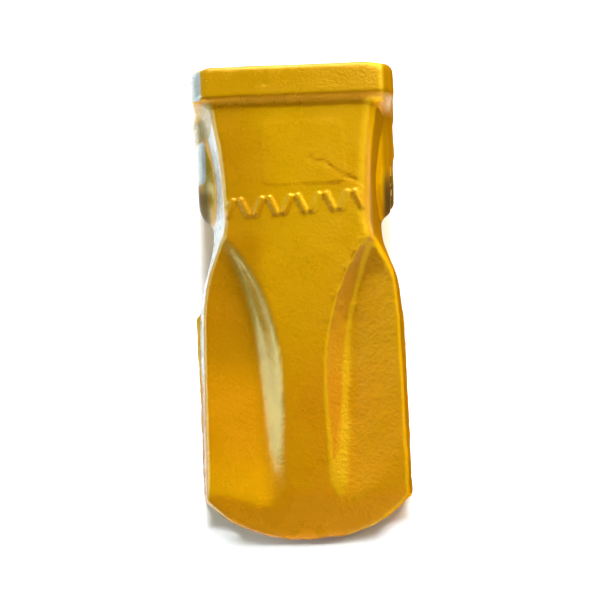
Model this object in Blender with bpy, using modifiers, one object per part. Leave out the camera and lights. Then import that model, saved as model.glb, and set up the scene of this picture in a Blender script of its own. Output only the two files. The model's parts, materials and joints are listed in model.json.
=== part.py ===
"""Excavator bucket tooth: a reversible side-pin rock point, its lock pin and its retainer.

The tooth is drawn in its own axis frame: Y = 0 at the mouth rim, -Y towards the tip, Z = 0 on the
parting plane, X along the pin. The "tooth_axis" empty then tips that frame forward until the
collar and the blade's outer edges rest on the ground plane, as the loose tooth lies.
"""
import math

import bmesh
import bpy
import numpy
from mathutils import Matrix, Vector

MM = 0.001
GAP = 0.3

# Casting, all in millimetres
TOOTH_LENGTH = 320.0
COLLAR_LENGTH = 24.0
COLLAR_HALF_WIDTH = 70.6
COLLAR_HALF_HEIGHT = 70.0
COLLAR_DRAFT = 0.01
COLLAR_CORNER = 12.0
BOX_HALF_HEIGHT = 65.0
FACE_SLOPE = 0.182
EDGE_ROUND = 4.0

# Chisel tip
TIP_HALF_THICKNESS = 5.0
BEVEL_SLOPE = 0.376
TIP_CORNER_X = 68.2
TIP_CORNER_SAG = 25.5
TIP_SQUARENESS = 2.55

# Ears that carry the pin
PIN_DISTANCE = 68.0
EAR_HALF_HEIGHT = 27.5
EAR_START = 4.0
EAR_ROOT = 40.0
EAR_REACH = 71.4

# Socket for the adapter nose
SOCKET_MOUTH_HALF = (50.0, 52.0)
SOCKET_END_HALF = (40.0, 17.0)
SOCKET_TAPER_LENGTH = 124.0
SOCKET_DEPTH = 140.0
SOCKET_EDGE_ROUND = 6.0
CHANNEL_HALF_HEIGHT = 21.5
CHANNEL_ROOT = 36.0
CHANNEL_REACH = 57.5

# Lock pin and retainer
PIN_RADIUS = 12.0
BORE_RADIUS = 12.5
PIN_HALF_LENGTH = 68.8
PIN_CHAMFER = 2.5
GROOVE_RADIUS = 10.0
RECESS_RADIUS = 20.0
RECESS_REACH = 66.0
RETAINER_WIDTH = 8.0
SHELL_WALL = 2.4
JAW_OUTER_RADIUS = 14.4
JAW_WIDTH = 6.0
JAW_SLIT = 2.0

# How far a cutter runs past the casting on every side
CLEAR = 20.0

RING_SEGMENTS = 48

# Stations of the cast body, each one a quarter outline at a distance from the mouth:
# distance, crest x, floor (x, z), blade edge (x, z), parting line x.
# The crest height follows the wedge of the face.
FLUTE_START = 112.0
STATIONS = (
    (6.0, 57.9, 59.8, 57.0, 61.7, 46.0, 69.5),
    (24.0, 57.3, 59.0, 55.0, 60.7, 45.0, 68.4),
    (53.0, 53.0, 54.7, 50.0, 56.2, 41.0, 63.2),
    (72.0, 51.0, 52.6, 47.0, 54.0, 39.0, 60.8),
    (90.0, 50.4, 51.7, 45.0, 53.0, 38.0, 60.0),
    (FLUTE_START, 50.6, 51.9, 43.0, 53.1, 37.0, 60.4),
    (124.0, 45.0, 50.5, 41.5, 56.6, 40.5, 63.4),
    (142.0, 32.0, 42.0, 33.0, 62.5, 37.0, 68.0),
    (166.0, 22.6, 34.0, 26.0, 67.3, 34.0, 71.8),
    (190.0, 16.8, 31.0, 21.0, 67.8, 30.2, 72.0),
    (226.0, 14.8, 29.2, 16.8, 68.2, 25.3, 71.8),
    (260.0, 15.8, 28.5, 14.6, 68.6, 22.0, 71.7),
    (292.0, 16.6, 27.5, 13.6, 68.9, 20.0, 71.6),
    (334.0, 18.0, 26.0, 12.0, 69.0, 16.0, 71.6),
)
STATION_STEP = 9.0
CREST_TRIM = 7.0
FLOOR_TRIM = 9.0
BLADE_TRIM = 3.0
CORNER_STEPS = 4

YELLOW_PAINT = (0.68, 0.35, 0.006, 1.0)
DARK_STEEL = (0.09, 0.09, 0.095, 1.0)
BRIGHT_STEEL = (0.35, 0.35, 0.36, 1.0)
BLACK_RUBBER = (0.02, 0.02, 0.02, 1.0)


def clear_scene():
    for old in list(bpy.data.objects):
        bpy.data.objects.remove(old, do_unlink=True)


def new_collection(name):
    collection = bpy.data.collections.new(name)
    bpy.context.scene.collection.children.link(collection)
    return collection


def painted(name, colour, roughness, metallic):
    material = bpy.data.materials.new(name)
    material.use_nodes = True
    shader = material.node_tree.nodes["Principled BSDF"]
    shader.inputs["Base Color"].default_value = colour
    shader.inputs["Roughness"].default_value = roughness
    shader.inputs["Metallic"].default_value = metallic
    return material


def place(name, bm, collection, parent):
    """Turn a bmesh drawn in millimetres into an object under the parent."""
    bmesh.ops.scale(bm, vec=(MM, MM, MM), verts=bm.verts)
    bmesh.ops.recalc_face_normals(bm, faces=bm.faces)
    mesh = bpy.data.meshes.new(name)
    bm.to_mesh(mesh)
    bm.free()
    piece = bpy.data.objects.new(name, mesh)
    piece.parent = parent
    collection.objects.link(piece)
    return piece


def cutter(name, bm, parent):
    tool = place(name, bm, bpy.data.collections["cutters"], parent)
    tool.hide_render = True
    tool.display_type = "WIRE"
    return tool


def loft(rings):
    """A closed body through rings that have the same number of points."""
    bm = bmesh.new()
    loops = [[bm.verts.new(point) for point in ring] for ring in rings]
    count = len(loops[0])
    for near, far in zip(loops, loops[1:]):
        for i in range(count):
            j = (i + 1) % count
            bm.faces.new((near[i], near[j], far[j], far[i]))
    bm.faces.new(reversed(loops[0]))
    bm.faces.new(loops[-1])
    return bm


def prism(outline, start, end):
    """A flat outline of points, swept from the start offset to the end offset."""
    bm = bmesh.new()
    face = bm.faces.new([bm.verts.new(Vector(point) + Vector(start)) for point in outline])
    swept = bmesh.ops.extrude_face_region(bm, geom=[face])
    moved = [item for item in swept["geom"] if isinstance(item, bmesh.types.BMVert)]
    bmesh.ops.translate(bm, verts=moved, vec=Vector(end) - Vector(start))
    return bm


def cylinder_x(radius, x_low, x_high, distance, segments=RING_SEGMENTS):
    """A cylinder along X at a distance from the mouth, on the parting plane."""
    bm = bmesh.new()
    centre = Vector(((x_low + x_high) / 2, -distance, 0))
    turn = Matrix.Translation(centre) @ Matrix.Rotation(math.radians(90), 4, "Y")
    bmesh.ops.create_cone(bm, cap_ends=True, segments=segments, radius1=radius, radius2=radius,
                          depth=x_high - x_low, matrix=turn)
    return bm


def soften(corners, trims):
    """Replace each inner corner of a polyline by a short curve that starts a trim away from it."""
    points = [corners[0]]
    for before, corner, after, trim in zip(corners, corners[1:], corners[2:], trims):
        back = min(trim, 0.45 * (before - corner).length)
        ahead = min(trim, 0.45 * (after - corner).length)
        start = corner + (before - corner).normalized() * back
        end = corner + (after - corner).normalized() * ahead
        for i in range(CORNER_STEPS + 1):
            t = i / CORNER_STEPS
            points.append(start * (1 - t) ** 2 + corner * 2 * t * (1 - t) + end * t ** 2)
    points.append(corners[-1])
    return points


def four_quarters(quarter, distance):
    """Mirror a quarter outline (crest centre to parting line) all the way round."""
    right_top = [(p.x, p.y) for p in quarter]
    right_bottom = [(x, -z) for x, z in reversed(right_top[:-1])]
    right = right_top + right_bottom
    left = [(-x, z) for x, z in reversed(right[1:-1])]
    return [Vector((x, -distance, z)) for x, z in right + left]


def face_height(distance):
    return BOX_HALF_HEIGHT - FACE_SLOPE * (distance - COLLAR_LENGTH)


def body_ring(distance, crest_x, floor_x, floor_z, edge_x, edge_z, parting_x):
    corners = [
        Vector((0, face_height(distance))),
        Vector((crest_x, face_height(distance))),
        Vector((floor_x, floor_z)),
        Vector((edge_x, edge_z)),
        Vector((parting_x, 0)),
    ]
    quarter = soften(corners, (CREST_TRIM, FLOOR_TRIM, BLADE_TRIM))
    return four_quarters(quarter, distance)


def smooth_stations():
    """Read the stations at even distances: straight along the box, on a smooth curve past it."""
    table = numpy.array(STATIONS)
    slopes = numpy.gradient(table, table[:, 0], axis=0)
    rings = []
    for i in range(len(table) - 1):
        span = table[i + 1, 0] - table[i, 0]
        steps = max(1, round(span / STATION_STEP))
        straight = table[i, 0] < FLUTE_START
        for step in range(steps):
            t = step / steps
            even = table[i] * (1 - t) + table[i + 1] * t
            if straight:
                rings.append(even)
                continue
            rings.append(table[i] * (2 * t ** 3 - 3 * t ** 2 + 1) + table[i + 1] * (3 * t ** 2 - 2 * t ** 3)
                         + span * slopes[i] * (t ** 3 - 2 * t ** 2 + t)
                         + span * slopes[i + 1] * (t ** 3 - t ** 2))
    rings.append(table[-1])
    return [body_ring(*(float(value) for value in row)) for row in rings]


def rounded_block_ring(distance, half_width, half_height, corner, draft=0.0):
    """A rounded rectangle whose sides lean in by the draft, from the parting line to the corner."""
    centre_z = half_height - corner
    centre_x = half_width - draft * centre_z - corner
    quarter = [Vector((0, half_height))]
    for i in range(CORNER_STEPS + 1):
        angle = math.radians(90 - 90 * i / CORNER_STEPS)
        quarter.append(Vector((centre_x + corner * math.cos(angle), centre_z + corner * math.sin(angle))))
    quarter.append(Vector((half_width, 0)))
    return four_quarters(quarter, distance)


def collar_body():
    """The thick lip round the mouth, with a rounded rear rim and a stepped front edge."""
    rim = EDGE_ROUND * 0.3
    step = EDGE_ROUND * 0.9
    rings = []
    for distance, shrink in ((0.0, EDGE_ROUND), (rim, rim), (EDGE_ROUND, 0.0),
                             (COLLAR_LENGTH - step, 0.0), (COLLAR_LENGTH - rim, rim),
                             (COLLAR_LENGTH + rim, step)):
        rings.append(rounded_block_ring(distance, COLLAR_HALF_WIDTH - shrink,
                                        COLLAR_HALF_HEIGHT - shrink, COLLAR_CORNER, COLLAR_DRAFT))
    return loft(rings)


def stadium(half_height, mouth_distance, end_distance):
    """A U-shaped outline in the YZ plane, round at the end away from the mouth."""
    points = [(0, -mouth_distance, -half_height), (0, -mouth_distance, half_height)]
    half_turn = RING_SEGMENTS // 2
    for i in range(half_turn + 1):
        angle = math.pi * i / half_turn
        points.append((0, -end_distance - half_height * math.sin(angle), half_height * math.cos(angle)))
    return points


def ear_body(side):
    """The boss that carries one end of the pin, with its outer edge rounded off."""
    outline = stadium(EAR_HALF_HEIGHT, EAR_START, PIN_DISTANCE)
    bm = prism(outline, (side * EAR_ROOT, 0, 0), (side * EAR_REACH, 0, 0))
    outer = [edge for edge in bm.edges
             if all(abs(vertex.co.x) > (EAR_ROOT + EAR_REACH) / 2 for vertex in edge.verts)]
    bmesh.ops.bevel(bm, geom=outer, offset=EDGE_ROUND, segments=3, profile=0.5, affect="EDGES")
    return bm


def channel_body(side):
    """The side channel of the socket, which the nose's own boss slides along to the pin."""
    outline = stadium(CHANNEL_HALF_HEIGHT, -CLEAR, PIN_DISTANCE)
    return prism(outline, (side * CHANNEL_ROOT, 0, 0), (side * CHANNEL_REACH, 0, 0))


def socket_taper():
    grow = [(mouth - end) / SOCKET_TAPER_LENGTH * CLEAR
            for mouth, end in zip(SOCKET_MOUTH_HALF, SOCKET_END_HALF)]
    mouth = [half + extra for half, extra in zip(SOCKET_MOUTH_HALF, grow)]
    return loft([rounded_block_ring(-CLEAR, *mouth, SOCKET_EDGE_ROUND),
                 rounded_block_ring(SOCKET_TAPER_LENGTH, *SOCKET_END_HALF, SOCKET_EDGE_ROUND)])


def socket_land():
    """The short parallel land and the flat seat at the bottom of the socket."""
    inset = 0.05
    overlap = 5.0
    section = [half - inset for half in SOCKET_END_HALF]
    return loft([rounded_block_ring(SOCKET_TAPER_LENGTH - overlap, *section, SOCKET_EDGE_ROUND),
                 rounded_block_ring(SOCKET_DEPTH, *section, SOCKET_EDGE_ROUND)])


def bevel_wedge(side):
    """What the chisel bevel takes off one face."""
    wedge_length = 4 * CLEAR
    half_width = COLLAR_HALF_WIDTH + CLEAR
    low = side * (TIP_HALF_THICKNESS - BEVEL_SLOPE * CLEAR)
    high = side * (TIP_HALF_THICKNESS + BEVEL_SLOPE * wedge_length)
    past, before = TOOTH_LENGTH + CLEAR, TOOTH_LENGTH - wedge_length
    outline = [(0, -past, low), (0, -before, high), (0, -past, high)]
    return prism(outline, (-half_width, 0, 0), (half_width, 0, 0))


def tip_arc():
    """What the round plan of the tip takes off."""
    half_width = COLLAR_HALF_WIDTH + CLEAR / 2
    steps = 32
    outline = []
    for i in range(steps + 1):
        x = half_width * (2 * i / steps - 1)
        sag = TIP_CORNER_SAG * abs(x / TIP_CORNER_X) ** TIP_SQUARENESS
        outline.append((x, -(TOOTH_LENGTH - sag), 0))
    for x, _, _ in (outline[-1], outline[0]):
        outline.append((x, -TOOTH_LENGTH - CLEAR, 0))
    return prism(outline, (0, 0, -BOX_HALF_HEIGHT), (0, 0, BOX_HALF_HEIGHT))


def boolean(target, tool, operation):
    modifier = target.modifiers.new(tool.name, "BOOLEAN")
    modifier.operation = operation
    modifier.object = tool


def add_tooth_point(collection, parent):
    point = place("tooth_point", loft(smooth_stations()), collection, parent)
    boolean(point, cutter("collar_shape", collar_body(), parent), "UNION")
    for side, label in ((1, "right"), (-1, "left")):
        boolean(point, cutter(f"ear_shape_{label}", ear_body(side), parent), "UNION")
    boolean(point, cutter("socket_taper_cut", socket_taper(), parent), "DIFFERENCE")
    boolean(point, cutter("socket_land_cut", socket_land(), parent), "DIFFERENCE")
    for side, label in ((1, "right"), (-1, "left")):
        boolean(point, cutter(f"channel_cut_{label}", channel_body(side), parent), "DIFFERENCE")
    for side, label in ((1, "top"), (-1, "bottom")):
        boolean(point, cutter(f"bevel_cut_{label}", bevel_wedge(side), parent), "DIFFERENCE")
    recess = cylinder_x(RECESS_RADIUS, CHANNEL_ROOT, RECESS_REACH, PIN_DISTANCE)
    boolean(point, cutter("recess_cut", recess, parent), "DIFFERENCE")
    bore = cylinder_x(BORE_RADIUS, -EAR_REACH - CLEAR, EAR_REACH + CLEAR, PIN_DISTANCE)
    boolean(point, cutter("bore_cut", bore, parent), "DIFFERENCE")
    boolean(point, cutter("tip_arc_cut", tip_arc(), parent), "DIFFERENCE")
    point.data.materials.append(painted("yellow paint", YELLOW_PAINT, 0.32, 0.0))
    return point


def turned(name, profile, collection, parent, material):
    """Spin a profile of (radius, place along the pin) round the pin's axis.

    The profile runs down the outer side from the +X end to the -X end.
    A profile that starts off the axis is a closed loop, so it makes a ring.
    """
    bm = bmesh.new()
    points = [bm.verts.new((radius, 0, along)) for radius, along in profile]
    for near, far in zip(points, points[1:]):
        bm.edges.new((near, far))
    if profile[0][0] > 0:
        bm.edges.new((points[-1], points[0]))
    piece = place(name, bm, collection, parent)
    piece.location = (0, -PIN_DISTANCE * MM, 0)
    piece.rotation_euler = (0, math.radians(90), 0)
    piece.data.materials.append(material)
    screw = piece.modifiers.new("turn", "SCREW")
    screw.steps = RING_SEGMENTS
    screw.render_steps = RING_SEGMENTS
    screw.use_merge_vertices = True
    screw.merge_threshold = 0.0001
    screw.use_smooth_shade = True
    return piece


def add_lock_pin(collection, parent):
    """A round bar with chamfered ends and one groove for the retainer's jaws."""
    centre = RECESS_REACH - GAP - RETAINER_WIDTH / 2
    half_groove = JAW_WIDTH / 2 + GAP
    lead = PIN_RADIUS - GROOVE_RADIUS
    steep = 0.4
    profile = [
        (0, PIN_HALF_LENGTH),
        (PIN_RADIUS - PIN_CHAMFER, PIN_HALF_LENGTH),
        (PIN_RADIUS, PIN_HALF_LENGTH - PIN_CHAMFER),
        (PIN_RADIUS, centre + half_groove + steep),
        (GROOVE_RADIUS, centre + half_groove),
        (GROOVE_RADIUS, centre - half_groove),
        (PIN_RADIUS, centre - half_groove - lead),
        (PIN_RADIUS, -PIN_HALF_LENGTH + PIN_CHAMFER),
        (PIN_RADIUS - PIN_CHAMFER, -PIN_HALF_LENGTH),
        (0, -PIN_HALF_LENGTH),
    ]
    turned("lock_pin", profile, collection, parent, painted("pin steel", DARK_STEEL, 0.4, 1.0))


def ring_profile(inner, outer, low, high):
    return ((inner, low), (inner, high), (outer, high), (outer, low))


def add_retainer(collection, parent):
    """Steel shell, rubber ring and two grooved jaws, from the outside in."""
    high = RECESS_REACH - GAP
    low = high - RETAINER_WIDTH
    shell_outer = RECESS_RADIUS - GAP
    shell_inner = shell_outer - SHELL_WALL
    turned("retainer_shell", ring_profile(shell_inner, shell_outer, low, high),
           collection, parent, painted("retainer steel", BRIGHT_STEEL, 0.35, 1.0))
    turned("retainer_rubber", ring_profile(JAW_OUTER_RADIUS + GAP, shell_inner - GAP, low, high),
           collection, parent, painted("retainer rubber", BLACK_RUBBER, 0.8, 0.0))
    inset = (RETAINER_WIDTH - JAW_WIDTH) / 2
    jaw_profile = ring_profile(GROOVE_RADIUS + GAP, JAW_OUTER_RADIUS, low + inset, high - inset)
    jaw_steel = painted("jaw steel", BRIGHT_STEEL, 0.3, 1.0)
    for side, label in ((1, "upper"), (-1, "lower")):
        jaw = turned(f"retainer_jaw_{label}", jaw_profile, collection, parent, jaw_steel)
        block = 3 * RECESS_RADIUS
        other_half = bmesh.new()
        bmesh.ops.create_cube(other_half, size=1.0)
        bmesh.ops.scale(other_half, vec=(2 * JAW_WIDTH, block, block), verts=other_half.verts)
        bmesh.ops.translate(other_half, verts=other_half.verts,
                            vec=((low + high) / 2, -PIN_DISTANCE, -side * (block - JAW_SLIT) / 2))
        boolean(jaw, cutter(f"{label}_jaw_cut", other_half, parent), "DIFFERENCE")


def add_tooth_axis(collection):
    axis = bpy.data.objects.new("tooth_axis", None)
    collection.objects.link(axis)
    return axis


def resting_tilt(points):
    """The angle at which the collar and the blade touch the ground together."""
    collar = points[points[:, 1] > -2 * COLLAR_LENGTH * MM]
    blade = points[points[:, 1] < -TOOTH_LENGTH / 2 * MM]
    level, steep = 0.0, math.radians(30)
    for _ in range(50):
        tilt = (level + steep) / 2
        collar_low, blade_low = ((group[:, 1] * math.sin(tilt) + group[:, 2] * math.cos(tilt)).min()
                                 for group in (collar, blade))
        if blade_low > collar_low:
            level = tilt
        else:
            steep = tilt
    return tilt


def stand_on_ground(axis, point):
    """Tip, lift and centre the tooth, so that its box has its bottom centre at the origin."""
    bpy.context.view_layer.update()
    solid = point.evaluated_get(bpy.context.evaluated_depsgraph_get())
    points = numpy.array([vertex.co for vertex in solid.data.vertices])
    axis.rotation_euler = (resting_tilt(points), 0, 0)
    turned_points = points @ numpy.array(axis.rotation_euler.to_matrix()).T
    low, high = turned_points.min(axis=0), turned_points.max(axis=0)
    axis.location = (0.0, -(low[1] + high[1]) / 2, -low[2])


def main():
    clear_scene()
    parts = new_collection("bucket tooth")
    cutters = new_collection("cutters")
    cutters.hide_render = True
    axis = add_tooth_axis(parts)
    point = add_tooth_point(parts, axis)
    add_lock_pin(parts, axis)
    add_retainer(parts, axis)
    stand_on_ground(axis, point)


main()
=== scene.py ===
import json
import math

import bmesh
import bpy
import numpy
from mathutils import Matrix, Vector


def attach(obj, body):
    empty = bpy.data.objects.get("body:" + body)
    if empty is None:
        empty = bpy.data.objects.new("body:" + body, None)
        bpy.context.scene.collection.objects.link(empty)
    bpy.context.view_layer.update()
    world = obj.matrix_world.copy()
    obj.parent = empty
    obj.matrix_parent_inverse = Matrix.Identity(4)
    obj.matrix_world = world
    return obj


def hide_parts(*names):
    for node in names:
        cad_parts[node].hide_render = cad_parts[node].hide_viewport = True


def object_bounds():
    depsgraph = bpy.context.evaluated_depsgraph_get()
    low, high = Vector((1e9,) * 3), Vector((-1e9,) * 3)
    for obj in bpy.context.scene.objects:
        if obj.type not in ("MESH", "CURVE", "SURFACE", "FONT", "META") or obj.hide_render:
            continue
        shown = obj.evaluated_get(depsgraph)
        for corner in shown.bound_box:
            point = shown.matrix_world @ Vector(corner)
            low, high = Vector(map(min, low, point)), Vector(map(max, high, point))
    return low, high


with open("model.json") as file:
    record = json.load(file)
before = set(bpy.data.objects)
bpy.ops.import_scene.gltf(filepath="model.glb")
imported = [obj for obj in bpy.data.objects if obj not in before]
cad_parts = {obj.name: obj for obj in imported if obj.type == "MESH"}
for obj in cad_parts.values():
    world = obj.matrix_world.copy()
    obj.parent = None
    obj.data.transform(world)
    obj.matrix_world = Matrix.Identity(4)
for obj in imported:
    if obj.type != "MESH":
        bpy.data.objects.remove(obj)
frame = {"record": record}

CAD_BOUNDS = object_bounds()
MM = 0.001

# ---------------------------------------------------------------------------------------------
# The tooth's own axis frame: x along the pin, s from the mouth towards the tip, z off the parting
# plane, all in millimetres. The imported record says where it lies.
# ---------------------------------------------------------------------------------------------
MOUNTS = {mount["name"]: mount for mount in frame["record"]["mounts"]}
MOUTHWARD = Vector(MOUNTS["socket_seat"]["axis"]).normalized()
FACEWARD = Vector((1, 0, 0)).cross(MOUTHWARD)
SOCKET_DEPTH = 140.0
MOUTH_CENTRE = Vector(MOUNTS["socket_seat"]["pos_m"]) + MOUTHWARD * SOCKET_DEPTH * MM

# The casting
TOOTH_LENGTH = 320.0
COLLAR_LENGTH = 24.0
COLLAR_HALF = (70.6, 70.0)
COLLAR_DRAFT = 0.01
COLLAR_CORNER = 12.0
BOX_HALF_HEIGHT = 65.0
FACE_SLOPE = 0.182
TIP_HALF_THICKNESS = 5.0
BEVEL_SLOPE = 0.376
TIP_CORNER_X = 68.2
TIP_CORNER_SAG = 25.5
TIP_SQUARENESS = 2.55
PIN_DISTANCE = 68.0
EAR_HALF_HEIGHT = 27.5
EAR_REACH = 71.4
EAR_CROWN = 0.009
SOCKET_MOUTH_HALF = (50.0, 52.0)
SOCKET_END_HALF = (40.0, 17.0)
SOCKET_TAPER_LENGTH = 124.0
CHANNEL_HALF_HEIGHT = 21.5
CHANNEL_REACH = 57.5
BORE_RADIUS = 12.5
RECESS_RADIUS = 20.0
RECESS_REACH = 66.0

# The pin and its retainer, with the gap between pieces that move on each other
GAP = 0.3
PIN_RADIUS = 12.0
PIN_HALF_LENGTH = 68.8
PIN_CHAMFER = 2.5
GROOVE_RADIUS = 10.0
RETAINER_WIDTH = 8.0
RETAINER_HIGH = RECESS_REACH - GAP
SHELL_OUTER = RECESS_RADIUS - GAP
SHELL_INNER = SHELL_OUTER - 2.4
JAW_OUTER_RADIUS = 14.4
JAW_WIDTH = 6.0
JAW_SLIT = 2.0

# Faces this near the cavity take the socket's material
CAVITY_SKIN = 0.7
# The recess is this much roomier than the CAD's, so that its rounded corner clears the shell
RECESS_EASE = 0.6

# Radii of the blends between the casting's surfaces, and how much a slanted surface's height
# is scaled to be a distance
FLUTE_BLEND = 7.0
CREST_ROUND_LEFT, CREST_ROUND_RIGHT = 3.4, 1.8
EDGE_ROUND = 3.6
RIGHT_BOX_EDGE_EXTRA = 8.0
BEVEL_BLEND = 1.1
TIP_BLEND = 2.4
COLLAR_BACK_ROUND = 7.0
COLLAR_FRONT_BLEND = 2.4
EAR_ROUND = 9.0
SOCKET_CORNER = 6.0
SEAT_ROUND = 5.0
CHANNEL_ROUND = 4.0
CHANNEL_BLEND = 3.0
JOIN_BLEND = 5.0
CUT_BLEND = 2.0
FLUTE_WALL_SCALE = 1.25
BEVEL_SCALE = 0.94
COLLAR_FRONT_SCALE = 0.95
EAR_CROWN_SCALE = 0.92
CHAMFER_SCALE = 0.7

# The collar's front face leans back from this far inside its edge
COLLAR_FRONT_INSET = 5.0
COLLAR_FRONT_SLOPE = 0.3
# The right shoulder of the blade stands out a little where it starts
SHOULDER_BULGE = 2.0
SHOULDER_DISTANCE = 137.0
SHOULDER_LENGTH = 16.0
EAR_CHAMFER = 3.2
OUT_OF_REACH = 1000.0

# distance, crest x, rib wall steepness, flute floor x, floor z, floor's rise outward,
# parting line x, side draft
SHAPE = numpy.array((
    (6.0, 78.0, 1.2, 60.0, 84.0, 0.00, 69.6, 0.170),
    (30.0, 78.0, 1.2, 60.0, 84.0, 0.00, 67.6, 0.170),
    (53.0, 76.0, 1.2, 60.0, 78.0, 0.00, 63.3, 0.170),
    (72.0, 73.0, 1.2, 58.0, 70.0, 0.00, 61.0, 0.175),
    (90.0, 66.0, 1.2, 56.0, 64.0, 0.05, 60.1, 0.185),
    (112.0, 54.0, 1.2, 52.0, 49.0, 0.10, 60.5, 0.195),
    (124.0, 43.5, 1.2, 48.0, 41.5, 0.16, 63.5, 0.170),
    (142.0, 32.0, 1.15, 42.0, 33.0, 0.22, 68.4, 0.142),
    (166.0, 22.6, 1.10, 34.0, 26.0, 0.24, 71.6, 0.130),
    (190.0, 16.8, 0.95, 31.0, 21.0, 0.24, 71.9, 0.130),
    (226.0, 14.8, 0.82, 29.2, 16.8, 0.21, 71.8, 0.130),
    (260.0, 15.8, 0.68, 28.5, 14.6, 0.18, 71.7, 0.130),
    (292.0, 16.6, 0.50, 27.5, 13.6, 0.15, 71.6, 0.130),
    (334.0, 18.0, 0.4, 26.0, 12.0, 0.10, 71.6, 0.130),
))
SHAPE_SLOPES = numpy.gradient(SHAPE, SHAPE[:, 0], axis=0)

# The grid that the casting's surface is found on: its ends, its steps and two finer bands
GRID_HALF_WIDTH, GRID_HALF_HEIGHT = 76.0, 74.0
GRID_BEFORE_MOUTH, GRID_BEYOND_TIP = 4.0, 6.0
GRID_STEPS = (1.42, 1.85, 1.75)
MARK_BAND = (84.0, 108.0)
MARK_STEP = 0.9
FLASH_BAND = 2.4
FLASH_STEP = 0.8
SETTLE_ROUNDS = 3

# Where the right wall's matt enamel starts: across, and how far the normal must lean to the right
RIGHT_WALL_START = 52.0
RIGHT_WALL_FACING = 0.3


def shape_at(s):
    """Smooth curves through the stations at a distance, for each column but the first."""
    s = numpy.clip(s, SHAPE[0, 0], SHAPE[-1, 0])
    i = numpy.clip(numpy.searchsorted(SHAPE[:, 0], s) - 1, 0, len(SHAPE) - 2)
    span = SHAPE[i + 1, 0] - SHAPE[i, 0]
    t = (s - SHAPE[i, 0]) / span
    near, far = 2 * t ** 3 - 3 * t ** 2 + 1, 3 * t ** 2 - 2 * t ** 3
    lead, trail = t ** 3 - 2 * t ** 2 + t, t ** 3 - t ** 2
    return [near * SHAPE[i, c] + far * SHAPE[i + 1, c]
            + span * (lead * SHAPE_SLOPES[i, c] + trail * SHAPE_SLOPES[i + 1, c])
            for c in range(1, SHAPE.shape[1])]


def smooth_max(a, b, radius):
    """The larger of two fields, with the crease between them rounded over the radius."""
    blend = numpy.clip(1 - numpy.abs(a - b) / radius, 0, 1)
    return numpy.maximum(a, b) + blend ** 2 * radius / 4


def smooth_min(a, b, radius):
    """The smaller of two fields, with the crease between them rounded over the radius."""
    return -smooth_max(-a, -b, radius)


def rounded_rectangle(x, z, half_x, half_z, corner):
    """Distance in the plane to the right upper quarter of a rectangle with round corners."""
    dx, dz = x - half_x + corner, z - half_z + corner
    outside = numpy.hypot(numpy.maximum(dx, 0), numpy.maximum(dz, 0))
    return outside + numpy.minimum(numpy.maximum(dx, dz), 0) - corner


def stadium(s, z, half_height):
    """Distance to a U shape round the pin's axis that is open towards the mouth."""
    return numpy.where(s < PIN_DISTANCE, numpy.abs(z), numpy.hypot(s - PIN_DISTANCE, z)) - half_height


def face_height(s):
    """How far the box's flat upper face lies off the parting plane."""
    return BOX_HALF_HEIGHT - FACE_SLOPE * (s - COLLAR_LENGTH)


def body_field(x, s, z, left):
    """Tapered box, centre rib, two flutes a face, drafted sides, bevelled round tip."""
    crest, steepness, floor_x, floor_z, rise, parting_x, draft = shape_at(s)
    face = face_height(s)
    wall = face + steepness * (crest - x)
    floor = floor_z + rise * (x - floor_x)
    flute = smooth_max(wall, floor, FLUTE_BLEND)
    top = smooth_min(face, flute, numpy.where(left, CREST_ROUND_LEFT, CREST_ROUND_RIGHT))
    upper = (z - top) / numpy.where(flute < face, FLUTE_WALL_SCALE, 1.0)
    bulge = SHOULDER_BULGE * numpy.exp(-((s - SHOULDER_DISTANCE) / SHOULDER_LENGTH) ** 2)
    side = x - parting_x - numpy.where(left, 0.0, bulge) + draft * z
    box_extra = RIGHT_BOX_EDGE_EXTRA * (1 - smooth_step(100.0, 150.0, s))
    edge_round = EDGE_ROUND + numpy.where(left, 0.0, box_extra)
    bevel = (z - TIP_HALF_THICKNESS - BEVEL_SLOPE * (TOOTH_LENGTH - s)) * BEVEL_SCALE
    out = x / TIP_CORNER_X
    sag_slope = TIP_CORNER_SAG * TIP_SQUARENESS / TIP_CORNER_X * out ** (TIP_SQUARENESS - 1)
    tip = (s - TOOTH_LENGTH + TIP_CORNER_SAG * out ** TIP_SQUARENESS) / numpy.hypot(1, sag_slope)
    blade = smooth_max(upper, side, edge_round)
    return smooth_max(smooth_max(blade, bevel, BEVEL_BLEND), tip, TIP_BLEND)


def collar_field(x, s, z):
    """The thick band round the mouth, with a front face that leans back."""
    section = rounded_rectangle(x + COLLAR_DRAFT * z, z, *COLLAR_HALF, COLLAR_CORNER)
    front = s - COLLAR_LENGTH + COLLAR_FRONT_SLOPE * (section + COLLAR_FRONT_INSET)
    band = smooth_max(section, -s, COLLAR_BACK_ROUND)
    return smooth_max(band, front * COLLAR_FRONT_SCALE, COLLAR_FRONT_BLEND)


def ear_field(x, s, z):
    """A side ear round the pin, with a crowned outer face."""
    wall = stadium(s, z, EAR_HALF_HEIGHT)
    crown = (x - EAR_REACH + EAR_CROWN * (wall + EAR_HALF_HEIGHT) ** 2) * EAR_CROWN_SCALE
    return smooth_max(wall, crown, EAR_ROUND)


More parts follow.
